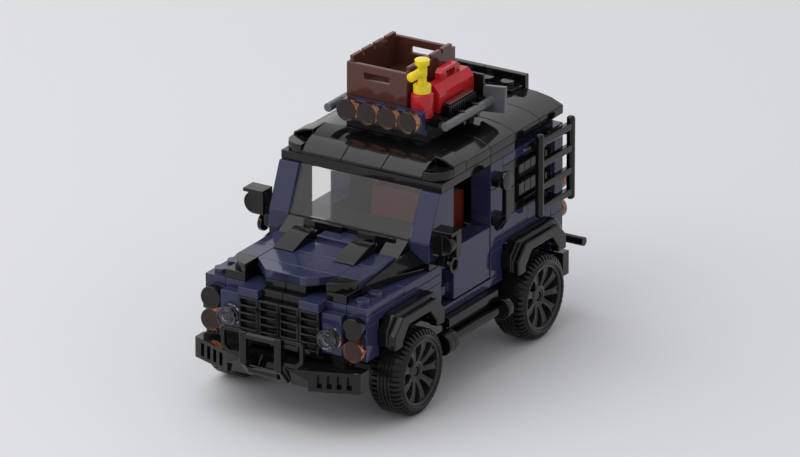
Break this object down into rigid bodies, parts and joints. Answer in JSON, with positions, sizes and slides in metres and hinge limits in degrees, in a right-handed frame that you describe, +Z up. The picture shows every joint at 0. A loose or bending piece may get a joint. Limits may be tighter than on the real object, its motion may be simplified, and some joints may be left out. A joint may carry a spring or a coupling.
{
  "type": "brick-built toy lifted off-road 4x4",
  "caption": "Toy off-road car built of studded plastic bricks, with raised body, bull bar, roof rack load, side ladder, opening doors and turning wheels.",
  "frame": {"origin": "on the floor, under the middle of the overall length and width", "axes": "+X forward, +Y to the left, +Z up"},
  "size_m": [0.1524, 0.083, 0.1086],
  "materials": {
    "blue_plastic": "gloss",
    "black_plastic": "gloss",
    "rim_plastic": "satin",
    "tyre_rubber": "matt",
    "smoked_clear": "gloss",
    "clear": "gloss",
    "orange_clear": "gloss",
    "amber_clear": "gloss",
    "brown_plastic": "satin",
    "red_plastic": "gloss",
    "yellow_plastic": "gloss",
    "grey_plastic": "satin"
  },
  "bodies": {
    "body": {"sills": "blue_plastic", "fenders": "blue_plastic", "nose": "blue_plastic", "hood": "blue_plastic", "pillars": "blue_plastic", "rear_sides": "blue_plastic", "rear_wall": "blue_plastic", "lamp_bracket": "blue_plastic", "chassis": "black_plastic", "side_steps": "black_plastic", "axles": "black_plastic", "flares_front": "black_plastic", "flares_rear": "black_plastic", "hinge_posts": "black_plastic", "grille": "black_plastic", "markers": "black_plastic", "hood_base": "black_plastic", "scoops": "black_plastic", "cowl": "black_plastic", "wipers": "black_plastic", "rear_windows": "black_plastic", "roof_base": "black_plastic", "roof_front": "black_plastic", "roof_sides": "black_plastic", "roof_top": "black_plastic", "rack_base": "black_plastic", "side_tray": "black_plastic", "ladder": "black_plastic", "mirrors": "black_plastic", "side_tool": "black_plastic", "bumper_front": "black_plastic", "bull_bar": "black_plastic", "bumper_rear": "black_plastic", "dashboard": "black_plastic", "windscreen": "smoked_clear", "headlamps": "clear", "indicators": "orange_clear", "rack_lamps": "amber_clear", "crate": "brown_plastic", "seats": "brown_plastic", "tray_top": "brown_plastic", "extinguisher_bottle": "red_plastic", "toolbox": "red_plastic", "extinguisher_valve": "yellow_plastic", "rack_tools": "grey_plastic"},
    "wheel_front_left": {"tyre_front_left": "tyre_rubber", "rim_front_left": "rim_plastic"},
    "wheel_front_right": {"tyre_front_right": "tyre_rubber", "rim_front_right": "rim_plastic"},
    "wheel_rear_left": {"tyre_rear_left": "tyre_rubber", "rim_rear_left": "rim_plastic"},
    "wheel_rear_right": {"tyre_rear_right": "tyre_rubber", "rim_rear_right": "rim_plastic"},
    "door_left": {"door_left": "blue_plastic"},
    "door_right": {"door_right": "blue_plastic"}
  },
  "joints": [
    {"name": "wheel_front_left_roll", "type": "hinge", "parent": "body", "child": "wheel_front_left", "pos_m": [0.0358, 0.033, 0.0152], "axis": [0, 1, 0], "continuous": true},
    {"name": "wheel_front_right_roll", "type": "hinge", "parent": "body", "child": "wheel_front_right", "pos_m": [0.0358, -0.033, 0.0152], "axis": [0, 1, 0], "continuous": true},
    {"name": "wheel_rear_left_roll", "type": "hinge", "parent": "body", "child": "wheel_rear_left", "pos_m": [-0.0442, 0.033, 0.0152], "axis": [0, 1, 0], "continuous": true},
    {"name": "wheel_rear_right_roll", "type": "hinge", "parent": "body", "child": "wheel_rear_right", "pos_m": [-0.0442, -0.033, 0.0152], "axis": [0, 1, 0], "continuous": true},
    {"name": "door_left_swing", "type": "hinge", "parent": "body", "child": "door_left", "pos_m": [0.0078, 0.028, 0.0384], "axis": [0, 0, -1], "range_deg": [0, 70]},
    {"name": "door_right_swing", "type": "hinge", "parent": "body", "child": "door_right", "pos_m": [0.0078, -0.028, 0.0384], "axis": [0, 0, 1], "range_deg": [0, 70]}
  ]
}
